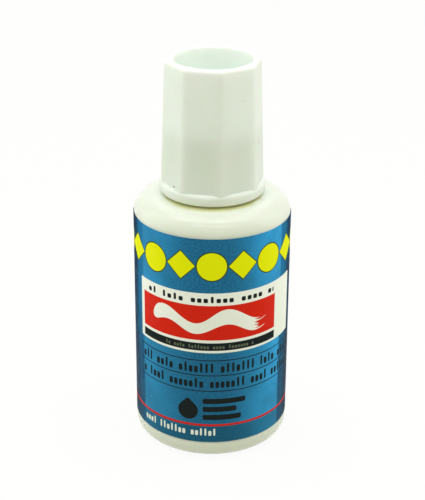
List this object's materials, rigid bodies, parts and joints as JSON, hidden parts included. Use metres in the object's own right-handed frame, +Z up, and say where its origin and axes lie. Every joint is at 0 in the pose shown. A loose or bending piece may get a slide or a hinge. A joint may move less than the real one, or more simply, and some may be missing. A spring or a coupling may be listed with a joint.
{
  "type": "correction fluid bottle",
  "caption": "Round blow-moulded bottle with a wrapped label and an eight-sided screw cap, hollow on top, that carries a brush on a stem through a wiper in the neck.",
  "frame": {"origin": "middle of the base, on the plane of the ring that the bottle stands on", "axes": "+Z up along the bottle, the label's front faces -Y, +X to the right"},
  "size_m": [0.028, 0.028, 0.071],
  "materials": {
    "bottle_plastic": "glossy blow-moulded polyethylene, creamy white",
    "label_film": null,
    "wiper_plastic": "soft translucent polyethylene",
    "ball_steel": "bright ground steel",
    "washer_foam": "closed-cell foam liner",
    "cap_plastic": "satin moulded polypropylene, slightly translucent",
    "stem_plastic": "satin moulded polypropylene",
    "anchor_metal": "bright pressed strip",
    "bristle_nylon": "nylon filaments wet with white fluid"
  },
  "bodies": {
    "bottle": {"bottle": "bottle_plastic", "label": "label_film", "wiper_insert": "wiper_plastic", "mixing_ball": "ball_steel"},
    "seal": {"seal_washer": "washer_foam"},
    "cap": {"cap": "cap_plastic", "brush_stem": "stem_plastic", "brush_anchor": "anchor_metal", "bristles": "bristle_nylon"}
  },
  "joints": [
    {"name": "cap_lift", "type": "slide", "parent": "bottle", "child": "seal", "axis": [0, 0, 1], "range_m": [0, 0.0525]},
    {"name": "cap_turn", "type": "hinge", "parent": "seal", "child": "cap", "pos_m": [0, 0, 0.0474], "axis": [0, 0, 1], "range_deg": [0, 7560]}
  ],
  "couplings": [
    {"joint": "cap_lift", "follows": "cap_turn", "m_per_rad": 0.00039789}
  ]
}
